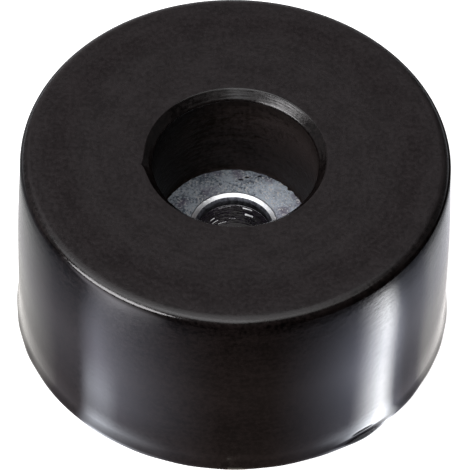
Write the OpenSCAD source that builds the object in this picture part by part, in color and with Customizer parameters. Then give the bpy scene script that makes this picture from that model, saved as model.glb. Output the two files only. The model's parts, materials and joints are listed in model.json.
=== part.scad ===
// Screw-on rubber foot with a moulded-in steel washer.
// The mounting face lies on z = 0 with the screw hole on the Z axis, and the tread faces up.
// Both pieces are revolved from a half section: x is the radius and y is the height.

/* [Body] */
// Diameter of the side wall at the mounting face, without the flash
body_d = 38; // [36:0.5:44]
// Height from the mounting face to the tread
body_h = 20; // [18:0.5:22]
// Draft of the side wall in degrees: it narrows towards the tread
wall_draft = 0.15; // [0:0.05:2]
// Radius of the rounded rim between the tread and the side wall
rim_r = 1; // [0.4:0.1:2]

/* [Base flash] */
// How far the thin flash stands out of the side wall
flash_out = 0.15; // [0.05:0.05:0.4]
// Height of the flash's own edge
flash_h = 0.3; // [0.1:0.05:0.6]
// Radius of the hollow sweep from the side wall out to the flash
flare_r = 4; // [1:0.5:8]

/* [Counterbore] */
// Diameter of the counterbore at its floor, which is the washer
floor_d = 13.4; // [12:0.1:15]
// Draft of the counterbore's wall in degrees: it opens towards the tread
bore_draft = 4.2; // [0:0.2:7]
// Depth of the bevelled mouth
mouth_h = 0.85; // [0.5:0.05:1.5]
// Slope of the bevel in degrees, down from the tread
mouth_slope = 50; // [35:5:60]
// Radius of the edge between the tread and the bevel
mouth_edge_r = 0.1; // [0.05:0.05:0.5]
// Radius of the edge between the bevel and the counterbore's wall
mouth_heel_r = 1.2; // [0.2:0.1:1.2]

/* [Washer] */
// Outer diameter of the washer, whose rim is held in the rubber
washer_d = 18; // [17:0.5:22]
// Thickness of the washer
washer_t = 1; // [0.8:0.1:2]
// Height of the washer's underside above the mounting face
washer_z = 9.6; // [6:0.1:12]
// Diameter of the screw hole through the washer and the rubber below it
hole_d = 6.6; // [4.5:0.1:8]
// Width of the bevelled ring round the washer's hole
bevel_w = 0.45; // [0.2:0.05:0.8]
// Depth of the bevelled ring
bevel_h = 0.2; // [0.1:0.05:0.5]

/* [Hidden] */
$fn = 160;
overrun = 1; // how far a cutting shape crosses the axis or runs past a face
arc_play = 0.0005; // added to an arc's radius, so that it meets a wall it touches in a clean edge

base_r = body_d / 2;
floor_z = washer_z + washer_t;
hole_r = hole_d / 2;

// Radius of the side wall and of the counterbore's wall at height z
function outer_r(z) = base_r - z * tan(wall_draft);
function bore_r(z) = floor_d / 2 + (z - floor_z) * tan(bore_draft);

// Where the bevelled mouth meets the counterbore's wall, and where it meets the tread
heel_z = body_h - mouth_h;
heel_x = bore_r(heel_z);
mouth_x = heel_x + mouth_h / tan(mouth_slope);

// The sweep is an arc that leaves the side wall smoothly and ends at the flash's upper edge.
// flash_gap is that edge's distance from the side wall, measured square to the wall, and
// sweep_len is the arc's length along the wall.
flash_r = base_r + flash_out;
flash_gap = flash_out * cos(wall_draft) + flash_h * sin(wall_draft);
sweep_len = sqrt(flare_r * flare_r - (flare_r - flash_gap) * (flare_r - flash_gap));
sweep_z = flash_h - flash_gap * sin(wall_draft) + sweep_len * cos(wall_draft);

// What rounding an edge takes away: the corner at point, beyond an arc of radius r. The two
// surfaces that meet there face in the directions a1 and a2, in degrees.
module edge_rounding(point, r, a1, a2) {
    middle = (a1 + a2) / 2;
    reach = r / cos(middle - a1);
    translate(point - reach * [cos(middle), sin(middle)]) difference() {
        polygon(2 * [
            [0, 0],
            r * [cos(a1), sin(a1)],
            reach * [cos(middle), sin(middle)],
            r * [cos(a2), sin(a2)]
        ]);
        circle(r = r + arc_play);
    }
}

// The drafted plug with its rounded rim
module plug_profile() {
    difference() {
        polygon([[0, 0], [base_r, 0], [outer_r(body_h), body_h], [0, body_h]]);
        edge_rounding([outer_r(body_h), body_h], rim_r, wall_draft, 90);
    }
}

// The flash at the parting line, with the hollow sweep above it
module flash_profile() {
    difference() {
        polygon([
            [base_r / 2, 0],
            [flash_r, 0],
            [flash_r, flash_h],
            [outer_r(sweep_z), sweep_z],
            [base_r / 2, sweep_z]
        ]);
        translate([
            outer_r(sweep_z) + flare_r * cos(wall_draft),
            sweep_z + flare_r * sin(wall_draft)
        ]) circle(r = flare_r + arc_play);
    }
}

// What the counterbore takes away: the space within its drafted wall and its bevelled mouth
module counterbore_profile() {
    polygon([
        [-overrun, floor_z],
        [bore_r(floor_z), floor_z],
        [heel_x, heel_z],
        [mouth_x + overrun / tan(mouth_slope), body_h + overrun],
        [-overrun, body_h + overrun]
    ]);
    edge_rounding([mouth_x, body_h], mouth_edge_r, 90, 90 + mouth_slope);
    edge_rounding([heel_x, heel_z], mouth_heel_r, 90 + mouth_slope, 180 - bore_draft);
}

module rubber_body() {
    color("#2c292a") rotate_extrude() difference() {
        union() {
            plug_profile();
            flash_profile();
        }
        counterbore_profile();
        translate([0, washer_z]) square([washer_d / 2, washer_t]);
        translate([-overrun, -overrun]) square([overrun + hole_r, overrun + floor_z]);
    }
}

module steel_washer() {
    color("#b7bfc6") rotate_extrude() polygon([
        [hole_r, washer_z],
        [washer_d / 2, washer_z],
        [washer_d / 2, floor_z],
        [hole_r + bevel_w, floor_z],
        [hole_r, floor_z - bevel_h]
    ]);
}

rubber_body();
steel_washer();
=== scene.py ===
"""Looks of the rubber foot: a moulded rubber body with a zinc-plated washer in its counterbore.

Lengths are in millimetres and angles in degrees unless a comment says otherwise; MM turns a
length into Blender's metres. Angles round the axis start at +X and run towards +Y, and the
camera stands on the -Y side.
"""

import json
import math
from collections import namedtuple

import bpy
import numpy as np
from mathutils import Matrix, Vector


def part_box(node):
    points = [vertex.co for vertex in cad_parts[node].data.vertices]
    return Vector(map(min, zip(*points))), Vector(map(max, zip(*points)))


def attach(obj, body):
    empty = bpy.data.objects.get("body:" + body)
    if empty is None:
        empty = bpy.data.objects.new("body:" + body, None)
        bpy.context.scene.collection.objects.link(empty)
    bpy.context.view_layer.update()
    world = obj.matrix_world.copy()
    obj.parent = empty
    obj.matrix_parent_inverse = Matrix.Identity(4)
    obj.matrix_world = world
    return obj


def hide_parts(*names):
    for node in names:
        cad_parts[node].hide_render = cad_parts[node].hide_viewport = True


MM = 0.001

# Camera
PICTURE_SIDE = 470  # pixels
PIXELS_PER_MM = 11.295  # at the target's distance
CAMERA_DISTANCE = 1007.5
CAMERA_ELEVATION = 49.78
CAMERA_ROLL = 1.51
CAMERA_TARGET = (0.124, 0.0, 9.40)
SENSOR_WIDTH = 36.0

# Both meshes
STEPS_ROUND = 384
BASE_RADIUS = 19.0  # of the side wall at its foot
POCKET_GAP = 0.01  # room between the washer and the rubber that holds it

# Body, where its shape is finer than the solid that it stands for
WALL_DRAFT = 0.15
WALL_BULGE = 0.12
BULGE_FROM, BULGE_CREST = 1.0, 11.0  # heights; it ends at the rim
RIM_RADIUS = 1.0
FLASH_OUT = 0.15
FLASH_HEIGHT = 0.3
FLASH_WAVER = 0.02
FLARE_RADIUS = 4.0
FLARE_STEPS = 7
FLOOR_RADIUS = 6.7
BORE_DRAFT = 4.2
MOUTH_SLOPE = 50.0
MOUTH_DEPTH = 0.85
MOUTH_EDGE_RADIUS = 0.1
MOUTH_HEEL_RADIUS = 0.4
LIP_WIDTH = 0.13  # of the rubber that runs over the washer's face
LIP_HEIGHT = 0.07
LIP_WAVER = 0.02
LIP_BUMP = 0.14  # at one place, with its angle and half width in degrees
LIP_BUMP_ANGLE, LIP_BUMP_WIDTH = 43.0, 2.2
MOUTH_STREAK = 0.002  # the usual height of the streaks round the mouth

# Roundings of the body's small edges, and the rows of faces on roundings and on longer runs
HOLE_ROUNDING = 0.12  # round the hole in the underside
FLASH_ROUNDING, FLASH_TOP_ROUNDING = 0.06, 0.04
INNER_ROUNDING = 0.05  # of the lip and of the hole's upper edge
SMALL_ARC, EDGE_ARC, HEEL_ARC, RIM_ARC = 3, 4, 10, 14
UNDERSIDE_ROWS, WALL_ROWS, TREAD_ROWS, MOUTH_ROWS, BORE_ROWS = 4, 14, 24, 10, 14
RIBBED_ROWS, PLAIN_HOLE_ROWS = 108, 8

# Ribs in the hole. Wander and sway shift them round and down the hole, in radians of their own
# wave, and their height varies about its mean at the given rate.
RIB_PITCH = 0.39
RIB_HEIGHT = 0.016
RIB_DEPTH = 2.6  # how far down the hole they go
RIB_FADE_OUT, RIB_FADE_IN = 0.3, 0.1  # lengths of the hole over which they end
RIB_WANDER = 1.4
RIB_SWAY, RIB_SWAY_RATE = 1.2, 3.1
RIB_MEAN, RIB_SPREAD, RIB_SPREAD_RATE, RIB_MOST = 0.8, 0.9, 2.9, 2.6
RIB_FOOT, RIB_TOP = -0.6, 0.9  # of the wave: the wall lies below one, the rib's top above
PIT_HEIGHT = 0.012
ROWS_A_PIT, PITS_ROUND = 4, 90

# Lumps in the hole: angle, height of the crest, half width in degrees, height of the slope
# above the crest, size, and how far the crest climbs for each degree towards +X
HOLE_LUMPS = [
    (69, 9.38, 11, 0.10, 0.140, 0.003),
    (66, 8.60, 10, 0.13, 0.180, 0.003),
    (67, 8.18, 8, 0.045, 0.060, 0.003),
    (65, 7.90, 9, 0.045, 0.060, 0.003),
    (64, 7.62, 10, 0.050, 0.065, 0.003),
    (93, 7.80, 8, 0.06, 0.080, 0.0),
    (126, 8.32, 6, 0.09, 0.125, 0.012),
    (121, 7.82, 8, 0.08, 0.110, 0.012),
    (109, 7.38, 10, 0.07, 0.095, 0.006),
    (106, 9.44, 14, 0.06, 0.075, 0.003),
]
LUMP_ROOM = 1.8  # the plain wall round a lump, in its own heights

# Faint rings on the tread: radius, half width and height
TREAD_RINGS = [(15.7, 0.35, 0.006), (12.6, 0.9, 0.008), (9.5, 0.6, 0.010)]

# Nick in the mouth's edge, and the place where the base flash was torn off far out
NICK_ANGLE = 187.5
NICK_WIDTH = 3.5  # degrees over which its depth falls to a third
NICK_DEPTH = 0.30
NICK_FADE = (0.5, 0.1)  # below the tread: where it begins and where it is full
NICK_REACH = (9.2, 8.2, 7.0)  # radii: where it ends, where it is full, and the innermost
TORN_ANGLE = 308.7
TORN_WIDTH = 10.5  # half, in degrees
TORN_OUT = 0.23  # how far it stands out past the rest of the flash
TORN_THINNED = 0.5  # the share of its height that it loses
TORN_UP_TO = 1.2  # height below which the flare is missing there
FLARE_MISSING = 0.9  # the share of the flare's width
TORN_FACE_HALF = 3.4  # half the length of the matt face of the tear
TORN_FACE_TOP = 0.31  # its height in the middle
TORN_FACE_SOFT = 0.05  # how softly it ends

# Dark marks on the washer's face: angle, radius, length and width
WASHER_MARKS = [
    (84.6, 5.46, 0.42, 0.17),
    (79.4, 5.81, 0.40, 0.17),
    (69.8, 6.27, 0.36, 0.19),
    (88.5, 5.25, 0.24, 0.08),
]

# Washer, where its shape is finer than the solid that it stands for
WASHER_UNEVEN = 0.002
WASHER_HOLE_ROUNDING, WASHER_RIM_ROUNDING = 0.06, 0.15
RING_ROUNDING, RING_EDGE_ROUNDING = 0.06, 0.04
BACK_ROWS, RIM_ROWS, FACE_ROWS, HOLE_WALL_ROWS = 6, 2, 40, 6
FACE_REACH = 0.2  # how far the face's fine rows go on under the rubber
RING_WIDTH = 0.64
RING_RISE = 0.06
RING_CREST = 0.85  # the share of its width at which it is highest
RING_WAVER = 0.02
RING_INSIDE = 0.20  # from the hole's wall to the ring's inner edge
RING_FALL, WALL_FALL = 0.13, 0.40  # from the face down to that edge and to the plain wall

# Seeds of what is random
RIB_SEEDS = (11, 12, 13)
PIT_SEED = 14
MOUTH_SEED = 21
FLASH_SEED = 31
WASHER_SEED = 41
RING_SEED = 42
LIP_SEED = 51


# ---------------------------------------------------------------- shape helpers

Corner = namedtuple("Corner", "r z radius arc_steps zone run_zone run_steps")


def corner(r, z, zone, radius=0.0, arc_steps=1, run_zone=None, run_steps=0):
    """A corner of a half section, with its rounding and the straight run that follows it."""
    return Corner(r, z, radius, arc_steps, zone, run_zone or zone, run_steps)


def rounded_section(corners):
    """Points and zone names round a closed half section, with each corner rounded."""
    ends = []
    for i, this in enumerate(corners):
        here = np.array([this.r, this.z], float)
        if this.radius == 0:
            ends.append([here])
            continue
        before = np.array(corners[i - 1][:2], float) - here
        after = np.array(corners[(i + 1) % len(corners)][:2], float) - here
        before /= np.linalg.norm(before)
        after /= np.linalg.norm(after)
        half = math.acos(np.clip(before @ after, -1, 1)) / 2
        middle = (before + after) / np.linalg.norm(before + after)
        centre = here + middle * this.radius / math.sin(half)
        start = here + before * this.radius / math.tan(half) - centre
        turn = math.pi - 2 * half
        side = math.copysign(1, before[0] * after[1] - before[1] * after[0])
        arc = []
        for step in range(this.arc_steps):
            angle = -side * turn * step / (this.arc_steps - 1)
            c, s = math.cos(angle), math.sin(angle)
            arc.append(centre + (c * start[0] - s * start[1], s * start[0] + c * start[1]))
        ends.append(arc)
    points, zones = [], []
    for i, this in enumerate(corners):
        points += ends[i]
        zones += [this.zone] * (len(ends[i]) - 1) + [this.run_zone]
        start, end = ends[i][-1], ends[(i + 1) % len(corners)][0]
        for step in range(1, this.run_steps + 1):
            points.append(start + (end - start) * step / (this.run_steps + 1))
            zones.append(this.run_zone)
    return np.array(points), np.array(zones)


def section_normals(points):
    """Unit normals of a closed section, pointing out of the material."""
    along = np.roll(points, -1, 0) - np.roll(points, 1, 0)
    normals = np.stack([along[:, 1], -along[:, 0]], 1)
    return normals / np.linalg.norm(normals, axis=1, keepdims=True)


def smooth(value, low, high):
    """0 at low, 1 at high, and smooth between them; low may be above high."""
    share = np.clip((value - low) / (high - low), 0, 1)
    return share * share * (3 - 2 * share)


def hump(value, centre, half_width):
    """A smooth rise to 1 at the centre and back to 0 half_width away."""
    return smooth(np.abs(value - centre), half_width, 0)


def turn_from(angles, centre):
    """How far each angle lies from the centre angle, between -180 and 180."""
    return (angles - centre + 180) % 360 - 180


def ripple(angles, seed, slowest, fastest):
    """A random closed curve round the axis, about 1 high, with waves of the given counts."""
    source = np.random.default_rng(seed)
    counts = np.arange(slowest, fastest + 1)
    heights = source.normal(size=len(counts))
    phases = source.uniform(0, 2 * math.pi, len(counts))
    waves = heights[:, None] * np.cos(np.radians(angles) * counts[:, None] + phases[:, None])
    return waves.sum(0) / math.sqrt(len(counts) / 2)


def rough_field(shape, seed, cells_along, cells_round):
    """Random heights about 1 high over a mesh's rows and columns, closed round the axis."""
    source = np.random.default_rng(seed)
    coarse = source.normal(size=(cells_along, cells_round))
    row = np.linspace(0, cells_along - 1, shape[0])
    column = np.arange(shape[1]) * cells_round / shape[1]
    row_low = np.minimum(row.astype(int), cells_along - 2)
    column_low = column.astype(int)
    row_share = smooth(row - row_low, 0, 1)[:, None]
    column_share = smooth(column - column_low, 0, 1)[None, :]
    column_high = (column_low + 1) % cells_round
    between_columns = (coarse[:, column_low] * (1 - column_share)
                       + coarse[:, column_high] * column_share)
    return (between_columns[row_low] * (1 - row_share)
            + between_columns[row_low + 1] * row_share)


def revolved_mesh(name, surface, materials, material_of_row):
    """A closed mesh from a half section for each step round: rows by steps by (radius, height)."""
    rows, columns = surface.shape[:2]
    angle = np.arange(columns) * 2 * math.pi / columns
    vertices = np.stack([
        surface[:, :, 0] * np.cos(angle),
        surface[:, :, 0] * np.sin(angle),
        surface[:, :, 1],
    ], -1).reshape(-1, 3) * MM
    row, column = np.meshgrid(np.arange(rows), np.arange(columns), indexing="ij")
    next_row, next_column = (row + 1) % rows, (column + 1) % columns
    faces = np.stack([
        row * columns + column,
        row * columns + next_column,
        next_row * columns + next_column,
        next_row * columns + column,
    ], -1).reshape(-1, 4)
    mesh = bpy.data.meshes.new(name)
    mesh.from_pydata(vertices.tolist(), [], faces.tolist())
    for material in materials:
        mesh.materials.append(material)
    mesh.polygons.foreach_set("material_index", np.repeat(material_of_row, columns).astype(np.int32))
    mesh.polygons.foreach_set("use_smooth", np.ones(len(faces), bool))
    mesh.update()
    piece = bpy.data.objects.new(name, mesh)
    bpy.context.collection.objects.link(piece)
    return piece


def spun(points):
    """The same section at every step round."""
    return np.repeat(points[:, None, :], STEPS_ROUND, 1)


# ---------------------------------------------------------------- shader helpers

class Shader:
    """Adds nodes to a node tree. Inputs are given by name or place, as values or as sockets."""

    def __init__(self, tree):
        self.tree = tree
        tree.nodes.clear()

    def add(self, kind, inputs=None, output=0, **settings):
        node = self.tree.nodes.new("ShaderNode" + kind)
        for name, value in settings.items():
            setattr(node, name, value)
        for name, value in (inputs or {}).items():
            if isinstance(value, bpy.types.NodeSocket):
                self.tree.links.new(value, node.inputs[name])
            else:
                node.inputs[name].default_value = value
        return node.outputs[output] if node.outputs else None

    def math(self, operation, *values):
        return self.add("Math", dict(enumerate(values)), operation=operation)

    def mix_colour(self, share, low, high):
        return self.add("Mix", {0: share, 6: low, 7: high}, output=2, data_type="RGBA")

    def blend(self, share, low, high):
        return self.add("Mix", {0: share, 2: low, 3: high}, data_type="FLOAT")

    def remap(self, value, low, high, to_low=0.0, to_high=1.0, smoothly=False):
        kind = "SMOOTHSTEP" if smoothly else "LINEAR"
        return self.add("MapRange", {0: value, 1: low, 2: high, 3: to_low, 4: to_high},
                        interpolation_type=kind)

    def place(self):
        """Place in the part's frame in millimetres: the vector, x, y and z."""
        metres = self.add("TexCoord", output="Object")
        vector = self.add("VectorMath", {0: metres, "Scale": 1 / MM}, operation="SCALE")
        split = self.add("SeparateXYZ", {0: vector})
        x, y, z = split.node.outputs
        return vector, x, y, z

    def noise(self, vector, waves_per_mm, detail=2.0, roughness=0.5):
        return self.add("TexNoise", {"Vector": vector, "Scale": waves_per_mm, "Detail": detail,
                                     "Roughness": roughness})

    def surface(self, shader):
        self.add("OutputMaterial", {"Surface": shader})


def new_material(name):
    material = bpy.data.materials.new(name)
    material.use_nodes = True
    return material, Shader(material.node_tree)


def grey(level):
    return (level, level, level, 1.0)


# ---------------------------------------------------------------- materials

Finish = namedtuple("Finish", "dark pale roughness spread waves grain streaks")

# Colours, the mean roughness and how far it varies, and the bump heights in micrometres of the
# broad waves, of the grain and of the streaks that run round the axis
SIDE_FINISH = Finish((0.0014, 0.0010, 0.0010), (0.0084, 0.0060, 0.0057), 0.16, 0.03, 3, 5, 3)
TREAD_FINISH = Finish((0.0023, 0.0015, 0.0015), (0.0081, 0.0059, 0.0062), 0.43, 0.06, 0, 29, 10)
BORE_FINISH = Finish((0.0032, 0.0018, 0.0008), (0.0185, 0.0140, 0.0132), 0.50, 0.08, 60, 75, 60)
BORE_TOP_FINISH = Finish((0.0016, 0.0010, 0.0008), (0.0080, 0.0058, 0.0052), 0.52, 0.08, 60, 60, 40)
MOUTH_FINISH = Finish((0.0012, 0.0008, 0.0008), (0.0056, 0.0040, 0.0038), 0.22, 0.05, 10, 3, 14)
HOLE_FINISH = Finish((0.0060, 0.0042, 0.0080), (0.0400, 0.0290, 0.0500), 0.17, 0.04, 0, 6, 0)

BORE_GLOSS = 0.06
# painted light and shade: how much paler the bore's colour is painted for each millimetre towards +X,
# and darker towards -X
BORE_PAINTED_LIGHT = 0.022
HOLE_GLOSS, HOLE_IOR = 1.0, 1.95
TREAD_FROM = 0.35  # below the tread, where the side's finish begins to turn into the tread's
BORE_TOP_FROM, BORE_TOP_FULL = 2.0, 0.5  # below the mouth's heel, where the bore's finish turns

# Where the tread is worn a little smoother: a ring of this radius and half width
POLISHED_RADIUS = 15.7
POLISHED_WIDTH = 2.4
POLISHED_BY = 0.08

# The matt face of the tear in the flash
TORN_COLOUR = (0.018, 0.017, 0.018, 1.0)
TORN_ROUGHNESS = 0.70

# The rubber's shade is mixed from patches, grain and streaks, and runs from dark to pale over
# the range
PATCH_WAVES, GRAIN_WAVES = 0.45, 2.6  # per millimetre
PATCH_SHARE, GRAIN_SHARE, STREAK_SHARE = 0.25, 0.55, 0.20
SHADE_RANGE = (0.40, 0.60)

# Zinc
ZINC_DARK, ZINC_PALE = (0.12, 0.15, 0.20, 1), (0.82, 0.90, 0.98, 1)
# the second colour on the next line is painted shade on the left of the washer
ZINC_STAIN, ZINC_PAINTED_SHADE = (0.26, 0.20, 0.29, 1), (0.10, 0.12, 0.13, 1)
ZINC_SPECK, ZINC_MARK = (1.0, 1.0, 1.0, 1), (0.012, 0.008, 0.009, 1)
# the last colour on the next line is painted in as shade low on the wall of the washer's hole
EDGE_DARK, EDGE_PALE, EDGE_PAINTED_SHADE = (0.10, 0.10, 0.12, 1), (0.42, 0.44, 0.50, 1), (0.03, 0.03, 0.035, 1)
RING_DARK, RING_PALE = (0.86, 0.90, 0.92, 1), (0.98, 0.99, 1.0, 1)
BLOTCH_WAVES, STAIN_WAVES, CRYSTAL_WAVES, SPECK_WAVES = 0.6, 0.5, 3.2, 4.5  # per millimetre
EDGE_WAVES, RING_WAVES = 2.4, 4.0


def torn_face(shader, x, y, z):
    """1 on the face of the tear in the flash, which is highest in its middle, and 0 elsewhere."""
    turn = math.radians(TORN_ANGLE)
    outwards = shader.math("MULTIPLY", x, math.cos(turn))
    outwards = shader.math("MULTIPLY_ADD", y, math.sin(turn), outwards)
    along = shader.math("MULTIPLY", x, -math.sin(turn) / TORN_FACE_HALF)
    along = shader.math("MULTIPLY_ADD", y, math.cos(turn) / TORN_FACE_HALF, along)
    drop = shader.math("MULTIPLY", shader.math("MULTIPLY", along, along), TORN_FACE_TOP)
    inside = shader.remap(shader.math("ADD", z, drop), TORN_FACE_TOP + TORN_FACE_SOFT,
                          TORN_FACE_TOP - TORN_FACE_SOFT)
    return shader.math("MULTIPLY", inside, shader.math("GREATER_THAN", outwards, 0.0))


def rubber_material(name, finish, gloss=0.5, top_finish=None, blend_from=0.0, blend_to=0.0,
                    ior=1.5, painted_light=0.0, torn=False):
    """Black moulded rubber. It changes to top_finish between two heights, and its colour is painted
    paler towards +X by painted_light, a painted light and painted shade. With torn, it has the matt
    face of the tear."""
    material, shader = new_material(name)
    place, x, y, z = shader.place()
    around = shader.add("CombineXYZ", {0: x, 1: y})
    radius = shader.add("VectorMath", {0: around}, output="Value", operation="LENGTH")
    flat = shader.add("CombineXYZ", {
        0: shader.math("MULTIPLY", x, 0.25),
        1: shader.math("MULTIPLY", y, 0.25),
        2: shader.math("MULTIPLY_ADD", z, 2.2, shader.math("MULTIPLY", radius, 1.8)),
    })
    patches = shader.noise(place, PATCH_WAVES, 3.0)
    grain = shader.noise(place, GRAIN_WAVES, 2.5, 0.6)
    streak = shader.noise(flat, 1.0, 2.0, 0.5)
    shade = shader.math("MULTIPLY", patches, PATCH_SHARE)
    shade = shader.math("MULTIPLY_ADD", grain, GRAIN_SHARE, shade)
    shade = shader.math("MULTIPLY_ADD", streak, STREAK_SHARE, shade)
    # painted light and shade: paler towards +X, where the lamps light the bore, darker towards -X
    shade = shader.math("MULTIPLY_ADD", x, painted_light, shade)
    shade = shader.remap(shade, *SHADE_RANGE)
    top = top_finish or finish
    share = shader.remap(z, blend_from, blend_to) if top_finish else 0.0
    dark = shader.mix_colour(share, (*finish.dark, 1), (*top.dark, 1))
    pale = shader.mix_colour(share, (*finish.pale, 1), (*top.pale, 1))
    spread = shader.blend(share, finish.spread, top.spread)
    off_ring = shader.math("ABSOLUTE", shader.math("SUBTRACT", radius, POLISHED_RADIUS))
    polish = shader.remap(off_ring, POLISHED_WIDTH, 0.0, 0.0, -POLISHED_BY, smoothly=True)
    rough = shader.math("ADD", shader.blend(share, finish.roughness, top.roughness), polish)
    rough = shader.math("MULTIPLY_ADD", spread, shader.remap(shade, 0.0, 1.0, -1.0, 1.0), rough)
    height = shader.math("MULTIPLY", patches, shader.blend(share, finish.waves, top.waves))
    grain_height = shader.blend(share, finish.grain, top.grain)
    height = shader.math("MULTIPLY_ADD", grain, grain_height, height)
    streak_height = shader.blend(share, finish.streaks, top.streaks)
    height = shader.math("MULTIPLY_ADD", streak, streak_height, height)
    colour = shader.mix_colour(shade, dark, pale)
    if torn:
        face = torn_face(shader, x, y, z)
        colour = shader.mix_colour(face, colour, TORN_COLOUR)
        rough = shader.blend(face, rough, TORN_ROUGHNESS)
    shader.surface(shader.add("BsdfPrincipled", {
        "Base Color": colour,
        "Roughness": rough,
        "IOR": ior,
        "Specular IOR Level": gloss,
        "Normal": shader.add("Bump", {"Strength": 1.0, "Distance": 1e-6, "Height": height}),
    }))
    return material


def zinc_material():
    """Bright zinc plating: mottled, with white specks and dark marks. Its colour is painted paler
    towards the right front and darker to the left, a painted light and painted shade for how the lamps
    reach it down the bore.
    """
    material, shader = new_material("zinc_plated_steel")
    place, x, y, _ = shader.place()
    blotch = shader.noise(place, BLOTCH_WAVES, 3.0, 0.6)
    crystal = shader.noise(place, CRYSTAL_WAVES, 3.0, 0.7)
    speck = shader.noise(place, SPECK_WAVES, 1.0)
    across = shader.math("MULTIPLY_ADD", y, -0.5, x)
    shade = shader.math("MULTIPLY_ADD", crystal, 0.60, shader.math("MULTIPLY", blotch, 0.45))
    # painted light: the washer is painted paler towards the right front, where the lamps reach it
    shade = shader.math("ADD", shade, shader.remap(across, -0.5, 3.5, 0.0, 0.075))
    shade = shader.remap(shade, 0.427, 0.573)
    colour = shader.mix_colour(shade, ZINC_DARK, ZINC_PALE)
    stain = shader.remap(shader.noise(place, STAIN_WAVES, 2.0), 0.50, 0.64, 0.0, 0.75)
    colour = shader.mix_colour(stain, colour, ZINC_STAIN)
    colour = shader.mix_colour(shader.remap(speck, 0.58, 0.64), colour, ZINC_SPECK)
    # painted shade: the washer is painted darker to the left, in the bore wall's shadow
    painted_shade = shader.remap(across, -4.5, 0.5, 0.48, 0.0)
    colour = shader.mix_colour(painted_shade, colour, ZINC_PAINTED_SHADE)
    for angle, radius, length, width in WASHER_MARKS:
        turn = math.radians(angle)
        centre = (radius * math.cos(turn), radius * math.sin(turn), 0.0)
        offset = shader.add("VectorMath", {0: place, 1: centre}, operation="SUBTRACT")
        halves = (2 / length, 2 / width, 0.0)
        scaled = shader.add("VectorMath", {0: offset, 1: halves}, operation="MULTIPLY")
        away = shader.add("VectorMath", {0: scaled}, output="Value", operation="LENGTH")
        inside = shader.remap(away, 1.35, 0.85)
        colour = shader.mix_colour(inside, colour, ZINC_MARK)
    shader.surface(shader.add("BsdfPrincipled", {
        "Base Color": colour,
        "Metallic": 1.0,
        "Roughness": shader.remap(crystal, 0.35, 0.65, 0.70, 0.50),
        "Normal": shader.add("Bump", {"Strength": 1.0, "Distance": 30e-6, "Height": crystal}),
    }))
    return material


def zinc_edge_material():
    """The matt, mottled zinc of the wall of the washer's hole. Its colour is painted darker downwards,
    a painted shade that deepens down the hole.
    """
    material, shader = new_material("zinc_hole_wall")
    place, _, _, z = shader.place()
    mark = shader.noise(place, EDGE_WAVES, 3.0, 0.65)
    shade = shader.remap(mark, 0.38, 0.62)
    colour = shader.mix_colour(shade, EDGE_DARK, EDGE_PALE)
    # painted shade: the wall is painted darker towards its foot, deep in the hole
    low = shader.remap(z, 9.7, 10.4, 0.75, 0.0)
    shader.surface(shader.add("BsdfPrincipled", {
        "Base Color": shader.mix_colour(low, colour, EDGE_PAINTED_SHADE),
        "Metallic": 1.0,
        "Roughness": shader.remap(mark, 0.38, 0.62, 0.55, 0.40),
        "Normal": shader.add("Bump", {"Strength": 1.0, "Distance": 8e-6, "Height": mark}),
    }))
    return material


def pressed_zinc_material():
    """The smooth bright zinc of the pressed ring round the washer's hole."""
    material, shader = new_material("zinc_pressed_ring")
    place = shader.place()[0]
    mark = shader.noise(place, RING_WAVES, 2.0, 0.6)
    shade = shader.remap(mark, 0.3, 0.7)
    colour = shader.mix_colour(shade, RING_DARK, RING_PALE)
    rough = shader.blend(shade, 0.42, 0.34)
    bumped = shader.add("Bump", {"Strength": 1.0, "Distance": 3e-6, "Height": mark})
    shader.surface(shader.add("BsdfPrincipled", {
        "Base Color": colour,
        "Metallic": 1.0,
        "Roughness": rough,
        "Normal": bumped,
    }))
    return material


# ---------------------------------------------------------------- pieces

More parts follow.
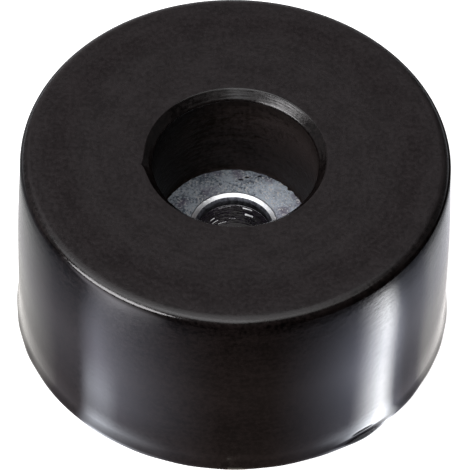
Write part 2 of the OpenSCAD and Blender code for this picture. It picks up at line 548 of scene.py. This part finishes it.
def body_corners(sizes):
    """The half section of the body, anticlockwise: out along the underside and back over the tread."""
    height, base_radius = sizes["height"], sizes["base_radius"]
    hole_radius = sizes["hole_radius"]
    pocket_radius = sizes["washer_radius"] + POCKET_GAP
    pocket_top = sizes["washer_top"] + POCKET_GAP
    pocket_bottom = sizes["washer_bottom"] - POCKET_GAP

    def wall_radius(z):
        return base_radius - z * math.tan(math.radians(WALL_DRAFT))

    def bore_radius(z):
        return FLOOR_RADIUS + (z - sizes["washer_top"]) * math.tan(math.radians(BORE_DRAFT))

    flash_radius = base_radius + FLASH_OUT
    reach = math.sqrt(FLARE_RADIUS ** 2 - (FLARE_RADIUS - FLASH_OUT) ** 2)
    flare_top = FLASH_HEIGHT + reach
    flare = []
    for step in range(1, FLARE_STEPS + 1):
        turn = math.asin(reach / FLARE_RADIUS) * (1 - step / FLARE_STEPS)
        r = wall_radius(flare_top) + FLARE_RADIUS * (1 - math.cos(turn))
        z = flare_top - FLARE_RADIUS * math.sin(turn)
        flare.append(corner(r, z, "flare"))
    flare[-1] = flare[-1]._replace(run_zone="wall", run_steps=WALL_ROWS)

    slope = math.radians(MOUTH_SLOPE)
    heel_z = height - MOUTH_DEPTH
    heel_radius = bore_radius(heel_z)
    edge_radius = heel_radius + MOUTH_DEPTH / math.tan(slope)
    lip_top = pocket_top + LIP_HEIGHT
    ribs_end = pocket_bottom - RIB_DEPTH
    return [
        corner(hole_radius, 0, "underside", HOLE_ROUNDING, SMALL_ARC, "underside", UNDERSIDE_ROWS),
        corner(flash_radius, 0, "flash", FLASH_ROUNDING, SMALL_ARC, "flash", 1),
        corner(flash_radius, FLASH_HEIGHT, "flash", FLASH_TOP_ROUNDING, SMALL_ARC),
        *flare,
        corner(wall_radius(height), height, "rim", RIM_RADIUS, RIM_ARC, "tread", TREAD_ROWS),
        corner(edge_radius, height, "mouth", MOUTH_EDGE_RADIUS, EDGE_ARC, "mouth", MOUTH_ROWS),
        corner(heel_radius, heel_z, "mouth", MOUTH_HEEL_RADIUS, HEEL_ARC, "bore", BORE_ROWS),
        corner(bore_radius(lip_top), lip_top, "bore", INNER_ROUNDING, SMALL_ARC),
        corner(FLOOR_RADIUS - LIP_WIDTH, lip_top, "lip", INNER_ROUNDING, SMALL_ARC),
        corner(FLOOR_RADIUS - LIP_WIDTH, pocket_top, "lip"),
        corner(pocket_radius, pocket_top, "pocket"),
        corner(pocket_radius, pocket_bottom, "pocket"),
        corner(hole_radius, pocket_bottom, "hole", INNER_ROUNDING, SMALL_ARC, "hole", RIBBED_ROWS),
        corner(hole_radius, ribs_end, "hole", 0, 1, "hole", PLAIN_HOLE_ROWS),
    ]


def ribbed(angles, z, top):
    """How far the ribs and lumps inside the hole stand out, at angles round it and heights z."""
    wander = RIB_WANDER * ripple(angles, RIB_SEEDS[0], 1, 5)
    sway = RIB_SWAY * np.sin(RIB_SWAY_RATE * z)
    wave = np.cos(2 * math.pi * (top - z) / RIB_PITCH + wander + sway)
    turning = np.cos(RIB_SPREAD_RATE * z + ripple(angles, RIB_SEEDS[2], 1, 7))
    uneven = RIB_MEAN + RIB_SPREAD * ripple(angles, RIB_SEEDS[1], 1, 12) * turning
    ribs = RIB_HEIGHT * smooth(wave, RIB_FOOT, RIB_TOP) * np.clip(uneven, 0.0, RIB_MOST)
    pitted = PIT_HEIGHT * rough_field(ribs.shape, PIT_SEED, len(z) // ROWS_A_PIT, PITS_ROUND)
    lumps = np.zeros_like(ribs)
    plain = np.ones_like(ribs)
    for angle, height, width, depth, size, climb in HOLE_LUMPS:
        away = turn_from(angles, angle)
        along = smooth(np.abs(away), width, 0.7 * width)
        above = z - height + climb * away
        lumps += size * along * np.clip(1 - above / depth, 0, 1) * smooth(above, -1.5 * depth, 0)
        plain *= 1 - along * smooth(np.abs(above), LUMP_ROOM * depth, depth)
    end = top - RIB_DEPTH
    fade = smooth(z, end, end + RIB_FADE_OUT) * smooth(z, top, top - RIB_FADE_IN)
    return (ribs + pitted) * plain * fade + lumps


def body_surface(points, zones, sizes):
    """The body's section at every step round, with what is uneven about the moulding."""
    angles = np.arange(STEPS_ROUND) * 360 / STEPS_ROUND
    r, z = points[:, :1], points[:, 1:]
    offset = np.zeros((len(points), STEPS_ROUND))

    in_hole = (zones == "hole")[:, None]
    offset += in_hole * ribbed(angles[None, :], z, sizes["washer_bottom"])

    streaks = np.random.default_rng(MOUTH_SEED).normal(size=(len(points), 1))
    in_mouth = (zones == "mouth")[:, None]
    offset += in_mouth * MOUTH_STREAK * streaks

    on_tread = (zones == "tread")[:, None]
    for radius, width, lift in TREAD_RINGS:
        offset += on_tread * lift * hump(r, radius, width)

    bulge = WALL_BULGE * smooth(z, BULGE_FROM, BULGE_CREST)
    bulge = bulge * smooth(z, sizes["height"] - RIM_RADIUS, BULGE_CREST)
    offset += (zones == "wall")[:, None] * bulge

    edge = ((zones == "flash") | (zones == "flare"))[:, None] * smooth(z, 1.0, 0.2)
    offset += edge * FLASH_WAVER * ripple(angles, FLASH_SEED, 3, 40)

    normals = section_normals(points)[:, None, :]
    surface = points[:, None, :] + normals * offset[:, :, None]

    # The ragged lip of rubber over the washer's rim
    bump = LIP_BUMP * hump(turn_from(angles, LIP_BUMP_ANGLE), 0, LIP_BUMP_WIDTH)
    bump += LIP_WAVER * ripple(angles, LIP_SEED, 8, 60)
    surface[:, :, 0] -= (zones == "lip")[:, None] * bump

    # The nick in the mouth's edge: a cusp that runs out into the tread
    nick = NICK_DEPTH * np.exp(-np.abs(turn_from(angles, NICK_ANGLE)) / NICK_WIDTH)
    begins, full = (sizes["height"] - below for below in NICK_FADE)
    outermost, full_radius, innermost = NICK_REACH
    at_edge = smooth(z, begins, full) * smooth(r, outermost, full_radius) * (r > innermost)
    surface[:, :, 0] += at_edge * nick

    # Where the flash was torn off far out, a thin fin of it is left below the plain wall
    torn = hump(turn_from(angles, TORN_ANGLE), 0, TORN_WIDTH)
    fin = (zones == "flash")[:, None] * torn
    surface[:, :, 0] += fin * TORN_OUT
    surface[:, :, 1] *= 1 - fin * TORN_THINNED
    over = (zones == "flare")[:, None] * smooth(z, TORN_UP_TO, FLASH_HEIGHT) * torn
    surface[:, :, 0] -= over * FLASH_OUT * FLARE_MISSING
    return surface


def make_body(sizes):
    points, zones = rounded_section(body_corners(sizes))
    outside = rubber_material("rubber_outside", SIDE_FINISH, 0.5, TREAD_FINISH,
                              sizes["height"] - TREAD_FROM, sizes["height"], torn=True)
    heel_z = sizes["height"] - MOUTH_DEPTH
    bore = rubber_material("rubber_bore", BORE_FINISH, BORE_GLOSS, BORE_TOP_FINISH,
                           heel_z - BORE_TOP_FROM, heel_z - BORE_TOP_FULL, painted_light=BORE_PAINTED_LIGHT)
    mouth = rubber_material("rubber_mouth", MOUTH_FINISH)
    hole = rubber_material("rubber_hole", HOLE_FINISH, HOLE_GLOSS, ior=HOLE_IOR)
    material_of_zone = {"bore": 1, "lip": 1, "pocket": 1, "mouth": 2, "hole": 3}
    body = revolved_mesh("rubber_foot_body", body_surface(points, zones, sizes),
                         [outside, bore, mouth, hole],
                         np.array([material_of_zone.get(zone, 0) for zone in zones]))
    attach(body, "root")
    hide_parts("rubber_body")
    return body


def make_washer(sizes):
    hole, outer = sizes["hole_radius"], sizes["washer_radius"]
    top, bottom = sizes["washer_top"], sizes["washer_bottom"]
    corners = [
        corner(hole, bottom, "back", WASHER_HOLE_ROUNDING, SMALL_ARC, "back", BACK_ROWS),
        corner(outer, bottom, "back", WASHER_RIM_ROUNDING, EDGE_ARC, "back", RIM_ROWS),
        corner(outer, top, "back", WASHER_RIM_ROUNDING, EDGE_ARC, "back", BACK_ROWS),
        corner(FLOOR_RADIUS + FACE_REACH, top, "face", 0, 1, "face", FACE_ROWS),
        corner(hole + RING_WIDTH, top, "ring", 0, 1, "ring", 3),
        corner(hole + RING_WIDTH * RING_CREST, top + RING_RISE, "ring", RING_ROUNDING, EDGE_ARC,
               "ring", 2),
        corner(hole + RING_INSIDE, top - RING_FALL, "wall", RING_EDGE_ROUNDING, SMALL_ARC),
        corner(hole, top - WALL_FALL, "wall", RING_EDGE_ROUNDING, SMALL_ARC, "wall",
               HOLE_WALL_ROWS),
    ]
    points, zones = rounded_section(corners)
    angles = np.arange(STEPS_ROUND) * 360 / STEPS_ROUND
    surface = spun(points)
    on_face = (zones == "face")[:, None]
    dents = rough_field(surface.shape[:2], WASHER_SEED, 40, STEPS_ROUND // 3)
    surface[:, :, 1] += on_face * WASHER_UNEVEN * dents
    ragged = (zones == "ring")[:, None] * hump(points[:, :1], hole + RING_WIDTH, 0.2)
    surface[:, :, 0] += ragged * RING_WAVER * ripple(angles, RING_SEED, 20, 70)
    materials = [zinc_material(), pressed_zinc_material(), zinc_edge_material()]
    material_of_zone = {"ring": 1, "wall": 2}
    washer = revolved_mesh("zinc_washer", surface, materials,
                           np.array([material_of_zone.get(zone, 0) for zone in zones]))
    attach(washer, "root")
    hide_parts("steel_washer")
    return washer


# ---------------------------------------------------------------- studio

STAGE_RADIUS = 6000.0
FLOOR_HEIGHT, TABLE_HEIGHT = -0.1, -0.2
FLOOR_TONE, FLOOR_GLOW = 0.85, 0.75
ROOM_TONE, WHITE_STRENGTH = 0.02, 1.2


def direction(azimuth, elevation):
    a, e = math.radians(azimuth), math.radians(elevation)
    return Vector((math.cos(e) * math.cos(a), math.cos(e) * math.sin(a), math.sin(e)))


def make_softbox(box):
    """A soft light one metre away, as wide and high in degrees as given."""
    light = bpy.data.lights.new(box.name, "AREA")
    light.shape = box.shape
    light.size = 2 * math.tan(math.radians(box.width / 2))
    light.size_y = 2 * math.tan(math.radians(box.height / 2))
    area = light.size * light.size_y * (math.pi / 4 if box.shape == "ELLIPSE" else 1)
    light.energy = box.radiance * math.pi * area
    light.color = box.colour
    lamp = bpy.data.objects.new(box.name, light)
    bpy.context.collection.objects.link(lamp)
    towards = direction(box.azimuth, box.elevation)
    lamp.location = towards
    facing = towards.to_track_quat("Z", "Y").to_matrix()
    lamp.rotation_euler = (facing @ Matrix.Rotation(math.radians(box.roll), 3, "Z")).to_euler()


def disc(name, height, steps=96):
    """A flat stage disc."""
    mesh = bpy.data.meshes.new(name)
    radius = STAGE_RADIUS * MM
    turns = [2 * math.pi * i / steps for i in range(steps)]
    ring = [(radius * math.cos(turn), radius * math.sin(turn), 0) for turn in turns]
    mesh.from_pydata(ring, [], [list(range(steps))])
    obj = bpy.data.objects.new(name, mesh)
    obj.location.z = height * MM
    bpy.context.collection.objects.link(obj)
    return obj


def make_floor():
    """A plain pale floor just below the part. Only the camera sees it: the wall mirrors the table."""
    floor = disc("floor", FLOOR_HEIGHT)
    material, shader = new_material("pale_floor")
    lit = shader.add("BsdfDiffuse", {"Color": grey(FLOOR_TONE)})
    glow = shader.add("Emission", {"Color": grey(1.0), "Strength": FLOOR_GLOW})
    shader.surface(shader.add("AddShader", {0: lit, 1: glow}))
    floor.data.materials.append(material)
    floor.visible_glossy = False
    floor.visible_diffuse = False
    floor.visible_transmission = False
    floor.visible_shadow = False
    return floor


Strip = namedtuple("Strip", "side rise full full_end end lean power colour levels")

# What the side wall mirrors in the table, by where it shows on the wall: each angle is the
# wall's, measured from the front on that side. Light rises from rise to full and falls from
# full_end to end (None: it doesn't). Lean turns its rise outwards towards the wall's top, and
# its fall half as far. Its levels are those that show at the heights of LEVEL_HEIGHTS.
LEVEL_HEIGHTS = (1.0, 2.5, 5.0, 10.0, 16.0, 18.6, 20.2, 22.0)
STRIPS = [
    Strip(-1, 53, 72, None, None, 4, 1.0, (1.04, 1.05, 0.95),
          (0.84, 0.48, 0.60, 0.40, 0.46, 0.46, 0.30, 0.14)),
    Strip(-1, 38, 44, None, None, 0, 1.0, (0.87, 0.93, 1.13),
          (0.26, 0.18, 0.23, 0.33, 0.28, 0.24, 0.16, 0.10)),
    Strip(-1, 0, 37, 38, 44.5, 0, 2.4, (0.92, 0.94, 1.13),
          (2.00, 1.15, 1.80, 1.95, 1.68, 1.25, 0.50, 0.30)),
    Strip(-1, 31, 35, 41, 44, 0, 1.0, (0.93, 1.00, 1.07),
          (0.60, 0.90, 1.25, 0.00, 0.00, 0.00, 0.00, 0.00)),
    Strip(-1, 15, 35, 39, 43, 0, 1.6, (0.93, 1.00, 1.07),
          (3.00, 0.00, 0.00, 0.00, 0.00, 0.00, 0.00, 0.00)),
    Strip(-1, 16, 30, 33, 42, 0, 1.0, (0.99, 0.97, 1.04),
          (0.00, 0.00, 0.00, 0.00, 0.00, 0.00, 1.15, 2.60)),
    Strip(+1, 33, 43, 45, 49.6, 6, 1.7, (0.99, 1.00, 1.01),
          (7.80, 7.60, 7.70, 6.30, 7.90, 7.80, 3.00, 0.20)),
    Strip(+1, 8, 40, 44, 54, 3, 2.4, (0.87, 0.94, 1.19),
          (1.40, 1.00, 1.25, 2.00, 1.50, 1.00, 0.12, 0.04)),
    Strip(+1, 22, 39, 46, 50, 0, 1.8, (0.93, 1.00, 1.07),
          (4.20, 0.00, 0.00, 0.00, 0.00, 0.00, 0.00, 0.00)),
    Strip(+1, 44, 50, None, None, 0, 1.0, (0.88, 0.96, 1.16),
          (0.44, 0.32, 0.36, 0.56, 0.58, 0.52, 0.24, 0.08)),
    Strip(+1, 59, 63, None, None, 5, 1.0, (1.08, 1.04, 0.92),
          (0.82, 0.42, 0.50, 0.26, 0.34, 0.38, 0.16, 0.08)),
]
FRONT_LEVELS = (0.20, 0.12, 0.10, 0.14, 0.09, 0.06, 0.01, 0.00)  # of a faint light over the table
FRONT_COLOUR = (1.23, 0.93, 0.85, 1)
RINGS_APART = 0.846  # how much further out the front wall mirrors for each step of height
RINGS_FORWARD = 0.30  # and how much of that comes from the rings' middles moving forward
FADE = {-1: (60.0, 300.0), 1: (33.0, 40.0)}  # where the light fades out on each side
CONTACT = 0.35  # the height on the wall up to which it mirrors the dark where the foot stands
UNDER_HOLE = 0.42  # the share of the light that comes up through the screw hole
REAR_LIGHT = 1.5  # of a pool of light well behind the part, for what is seen from low down
REAR_FROM, REAR_TO = (90.0, 160.0), (220.0, 420.0)  # how far from the axis it rises and falls
REAR_COLOUR = (0.97, 0.98, 1.05, 1)


def make_light_table():
    """The lit table top that the side wall mirrors: pale at the sides, with two bright strips.

    A vertical line of the wall mirrors a straight line on the table, so each strip is bounded by
    such lines. The camera doesn't see it.
    """
    table = disc("light_table", TABLE_HEIGHT)
    material, shader = new_material("light_table")
    _, x, y, _ = shader.place()

    def beyond(side, angle, lean):
        """How far a place on the table lies past the line that the wall mirrors at an angle."""
        turn = math.radians(angle)
        lean = math.radians(lean)
        across = shader.math("MULTIPLY", x, side * math.cos(2 * turn + lean))
        along = shader.math("MULTIPLY", y, math.sin(2 * turn + lean))
        foot = BASE_RADIUS * math.sin(turn + lean)
        return shader.math("ADD", shader.math("ADD", across, along), foot)

    def ramp(side, low, high, lean):
        """0 before the line of one angle, 1 past the line of another, and even between them."""
        from_low = beyond(side, low, lean)
        past_high = beyond(side, high, lean)
        share = shader.math("DIVIDE", from_low, shader.math("SUBTRACT", from_low, past_high))
        full = shader.math("GREATER_THAN", past_high, 0.0)
        share = shader.math("MAXIMUM", shader.remap(share, 0.0, 1.0), full)
        return shader.math("MULTIPLY", share, shader.math("GREATER_THAN", from_low, 0.0))

    def squared(value):
        return shader.math("MULTIPLY", value, value)

    # A height of the wall mirrors a ring on the table, whose radius and middle both move with
    # it: solve x^2 + (y + forward * height)^2 = (BASE_RADIUS + wider * height)^2 for the height
    wider = RINGS_APART - RINGS_FORWARD
    square = RINGS_FORWARD ** 2 - wider ** 2
    away_squared = shader.math("ADD", squared(x), squared(y))
    distance = shader.math("SQRT", away_squared)
    linear = shader.math("MULTIPLY_ADD", y, 2 * RINGS_FORWARD, -2 * BASE_RADIUS * wider)
    constant = shader.math("SUBTRACT", away_squared, BASE_RADIUS ** 2)
    root = shader.math("SQRT", shader.math("MULTIPLY_ADD", constant, -4 * square, squared(linear)))
    height = shader.math("DIVIDE", shader.math("ADD", linear, root), -2 * square)
    shares = [shader.remap(height, low, high) for low, high in zip(LEVEL_HEIGHTS, LEVEL_HEIGHTS[1:])]
    contact = shader.remap(height, 0.0, CONTACT, 0.3, 1.0)
    under = shader.remap(distance, BASE_RADIUS / 3, BASE_RADIUS / 2, UNDER_HOLE, 1.0)
    contact = shader.math("MULTIPLY", contact, under)

    def level_here(levels, fade):
        level = levels[0]
        for share, next_level in zip(shares, levels[1:]):
            level = shader.blend(share, level, next_level)
        faded = shader.remap(distance, *fade, 1.0, 0.0)
        return shader.math("MULTIPLY", shader.math("MULTIPLY", level, contact), faded)

    on_side = {side: shader.math("GREATER_THAN", shader.math("MULTIPLY", x, side), 0.0)
               for side in (-1, 1)}
    front = level_here(FRONT_LEVELS, FADE[-1])
    total = shader.add("Emission", {"Color": FRONT_COLOUR, "Strength": front})
    for strip in STRIPS:
        mask = shader.math("POWER", ramp(strip.side, strip.rise, strip.full, strip.lean), strip.power)
        if strip.end is not None:
            gone = ramp(strip.side, strip.full_end, strip.end, strip.lean / 2)
            fall = shader.math("SUBTRACT", 1.0, gone)
            mask = shader.math("MULTIPLY", mask, fall)
        mask = shader.math("MULTIPLY", mask, on_side[strip.side])
        lit = shader.math("MULTIPLY", mask, level_here(strip.levels, FADE[strip.side]))
        glow = shader.add("Emission", {"Color": (*strip.colour, 1), "Strength": lit})
        total = shader.add("AddShader", {0: total, 1: glow})
    behind = shader.remap(shader.math("DIVIDE", y, distance), 0.1, 0.9, smoothly=True)
    behind = shader.math("MULTIPLY", behind, shader.remap(distance, *REAR_FROM))
    behind = shader.math("MULTIPLY", behind, shader.remap(distance, *REAR_TO, REAR_LIGHT, 0.0))
    glow = shader.add("Emission", {"Color": REAR_COLOUR, "Strength": behind})
    shader.surface(shader.add("AddShader", {0: total, 1: glow}))
    material.cycles.emission_sampling = "NONE"
    table.data.materials.append(material)
    table.visible_camera = False
    table.visible_diffuse = False
    table.visible_shadow = False
    return table


def make_world():
    """White to the camera, and a dim room to the part."""
    world = bpy.data.worlds.new("studio")
    bpy.context.scene.world = world
    world.use_nodes = True
    shader = Shader(world.node_tree)
    seen = shader.add("LightPath", output="Is Camera Ray")
    room = shader.add("Background", {"Color": grey(ROOM_TONE), "Strength": 1.0})
    white = shader.add("Background", {"Color": grey(1.0), "Strength": WHITE_STRENGTH})
    mixed = shader.add("MixShader", {0: seen, 1: room, 2: white})
    shader.add("OutputWorld", {"Surface": mixed})


Softbox = namedtuple("Softbox", "name azimuth elevation width height radiance colour roll shape")

SOFTBOXES = [
    Softbox("key", 217, 15.5, 52, 19, 12.5, (1.0, 0.98, 1.0), 12, "ELLIPSE"),
    Softbox("upper_left", 225, 48.5, 82, 27, 2.35, (0.98, 0.98, 1.0), 6, "RECTANGLE"),
    Softbox("upper_right", 309, 47, 50, 23, 1.05, (1.0, 0.99, 0.98), 0, "RECTANGLE"),
    Softbox("overhead", 270, 80, 55, 55, 1.4, (1.0, 0.98, 1.0), 0, "RECTANGLE"),
    Softbox("rear_high", 90, 52, 80, 36, 0.22, (1.0, 0.82, 0.87), 0, "RECTANGLE"),
    Softbox("rear_left", 156, 55, 38, 20, 0.9, (1.0, 0.97, 1.0), 0, "RECTANGLE"),
    Softbox("rear_low", 100, 18, 50, 32, 0.5, (1.0, 0.9, 0.92), 0, "RECTANGLE"),
    Softbox("side_left", 156, 12, 50, 30, 0.22, (1.0, 0.96, 0.98), 0, "RECTANGLE"),
    Softbox("side_right", 22, 16, 56, 30, 0.06, (1.0, 0.96, 0.98), 0, "RECTANGLE"),
]


def make_camera():
    """The photograph's camera: a long lens from in front and above, with a slight roll."""
    data = bpy.data.cameras.new("camera")
    data.sensor_width = SENSOR_WIDTH
    data.lens = PIXELS_PER_MM * CAMERA_DISTANCE / PICTURE_SIDE * SENSOR_WIDTH
    data.clip_start = 0.05
    data.clip_end = 50
    camera = bpy.data.objects.new("camera", data)
    bpy.context.collection.objects.link(camera)
    back = direction(270, CAMERA_ELEVATION)
    right = Vector((1, 0, 0))
    up = back.cross(right)
    turn = math.radians(CAMERA_ROLL)
    rolled_right = right * math.cos(turn) + up * math.sin(turn)
    rolled_up = up * math.cos(turn) - right * math.sin(turn)
    axes = Matrix((rolled_right, rolled_up, back)).transposed().to_4x4()
    stand = Vector(CAMERA_TARGET) + back * CAMERA_DISTANCE
    camera.matrix_world = Matrix.Translation(stand * MM) @ axes
    bpy.context.scene.camera = camera


# ---------------------------------------------------------------- scene


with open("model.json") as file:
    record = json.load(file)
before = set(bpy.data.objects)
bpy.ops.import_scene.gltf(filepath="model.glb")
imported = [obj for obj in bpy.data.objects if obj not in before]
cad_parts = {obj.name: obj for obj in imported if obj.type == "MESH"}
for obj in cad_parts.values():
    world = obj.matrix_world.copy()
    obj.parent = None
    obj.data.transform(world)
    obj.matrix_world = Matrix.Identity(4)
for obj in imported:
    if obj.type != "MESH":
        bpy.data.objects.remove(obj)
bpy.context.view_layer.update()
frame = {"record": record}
body_low, body_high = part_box("rubber_body")
washer_low, washer_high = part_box("steel_washer")
bore = next(mount for mount in frame["record"]["mounts"] if mount["name"] == "screw_bore")
sizes = {
    "height": body_high.z / MM,
    "base_radius": body_high.x / MM - FLASH_OUT,
    "washer_top": washer_high.z / MM,
    "washer_bottom": washer_low.z / MM,
    "washer_radius": washer_high.x / MM,
    "hole_radius": bore["dims"]["r_mm"],
}

make_camera()
make_body(sizes)
make_washer(sizes)
make_floor()
make_light_table()
make_world()
for softbox in SOFTBOXES:
    make_softbox(softbox)
bpy.context.scene.view_settings.view_transform = "Standard"
